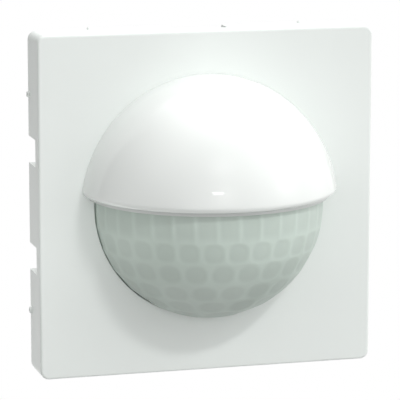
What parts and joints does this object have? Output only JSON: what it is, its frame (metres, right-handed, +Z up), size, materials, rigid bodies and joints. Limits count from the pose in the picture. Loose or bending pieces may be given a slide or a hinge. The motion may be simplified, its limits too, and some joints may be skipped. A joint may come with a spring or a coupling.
{
  "type": "motion sensor",
  "caption": "Flush-mounted passive-infrared motion sensor: square cover plate, faceted half-dome lens below a glossy clip-on hood that hides the setting dials.",
  "frame": {"origin": "middle of the seat plane, where the rear rim of the cover plate's skirt meets the wall or frame", "axes": "+Z up, +Y into the wall, -Y out of the front, +X to the right seen from the front"},
  "size_m": [0.072, 0.0507, 0.072],
  "materials": {
    "cover_white": "satin moulded, fine grain",
    "hood_white": "glossy moulded",
    "lens_grey": "satin translucent polyethylene",
    "inner_white": "matt moulded",
    "black_plastic": "matt moulded",
    "grey_plastic": "matt moulded",
    "dial_grey": "satin moulded",
    "button_blue": "satin moulded",
    "board_green": "solder resist",
    "steel": "plain",
    "gold_contact": "plated",
    "detector_window": "polished filter",
    "led_red": "clear tinted",
    "cable_white": "flat cable film",
    "capacitor_sleeve": "shrunk sleeve"
  },
  "bodies": {
    "base": {"cover_plate": "cover_white", "lens": "lens_grey", "control_dome": "inner_white", "clamp_ring": "inner_white", "rear_housing": "grey_plastic", "housing_screw_1": "steel", "housing_screw_2": "steel", "housing_screw_3": "steel", "housing_screw_4": "steel", "range_potentiometer": "black_plastic", "lux_potentiometer": "black_plastic", "time_potentiometer": "black_plastic", "mode_switch": "black_plastic", "test_switch": "black_plastic", "control_board": "board_green", "board_screw_left": "steel", "board_screw_right": "steel", "link_cable": "cable_white", "link_socket_front": "black_plastic", "link_socket_rear": "black_plastic", "sensor_board": "board_green", "detector_carrier": "black_plastic", "detector_left": "steel", "detector_right": "steel", "detector_window_left": "detector_window", "detector_window_right": "detector_window", "status_led": "led_red", "light_sensor": "detector_window", "board_connector": "black_plastic", "main_board": "board_green", "microcontroller": "black_plastic", "capacitor": "capacitor_sleeve", "choke": "grey_plastic", "plug_connector": "black_plastic", "contact_row_upper": "gold_contact", "contact_row_lower": "gold_contact", "spring_clip_left": "steel", "spring_clip_right": "steel"},
    "hood": {"hood": "hood_white"},
    "range_dial": {"range_dial": "dial_grey"},
    "lux_dial": {"lux_dial": "dial_grey"},
    "time_dial": {"time_dial": "dial_grey"},
    "mode_slider": {"mode_slider": "dial_grey"},
    "test_button": {"test_button": "button_blue"}
  },
  "joints": [
    {"name": "hood_pull", "type": "slide", "parent": "base", "child": "hood", "axis": [0, -1, 0], "range_m": [0, 0.03]},
    {"name": "range_dial_turn", "type": "hinge", "parent": "base", "child": "range_dial", "pos_m": [-0.009, -0.0265, 0.0079], "axis": [0, -1, 0], "range_deg": [-135, 135]},
    {"name": "lux_dial_turn", "type": "hinge", "parent": "base", "child": "lux_dial", "pos_m": [0, -0.0265, 0.0079], "axis": [0, -1, 0], "range_deg": [-135, 135]},
    {"name": "time_dial_turn", "type": "hinge", "parent": "base", "child": "time_dial", "pos_m": [0.009, -0.0265, 0.0079], "axis": [0, -1, 0], "range_deg": [-135, 135]},
    {"name": "mode_slide", "type": "slide", "parent": "base", "child": "mode_slider", "axis": [1, 0, 0], "range_m": [-0.0018, 0.0018]},
    {"name": "test_press", "type": "slide", "parent": "base", "child": "test_button", "axis": [0, 1, 0], "range_m": [0, 0.0005], "stiffness_N_per_m": 1000}
  ]
}
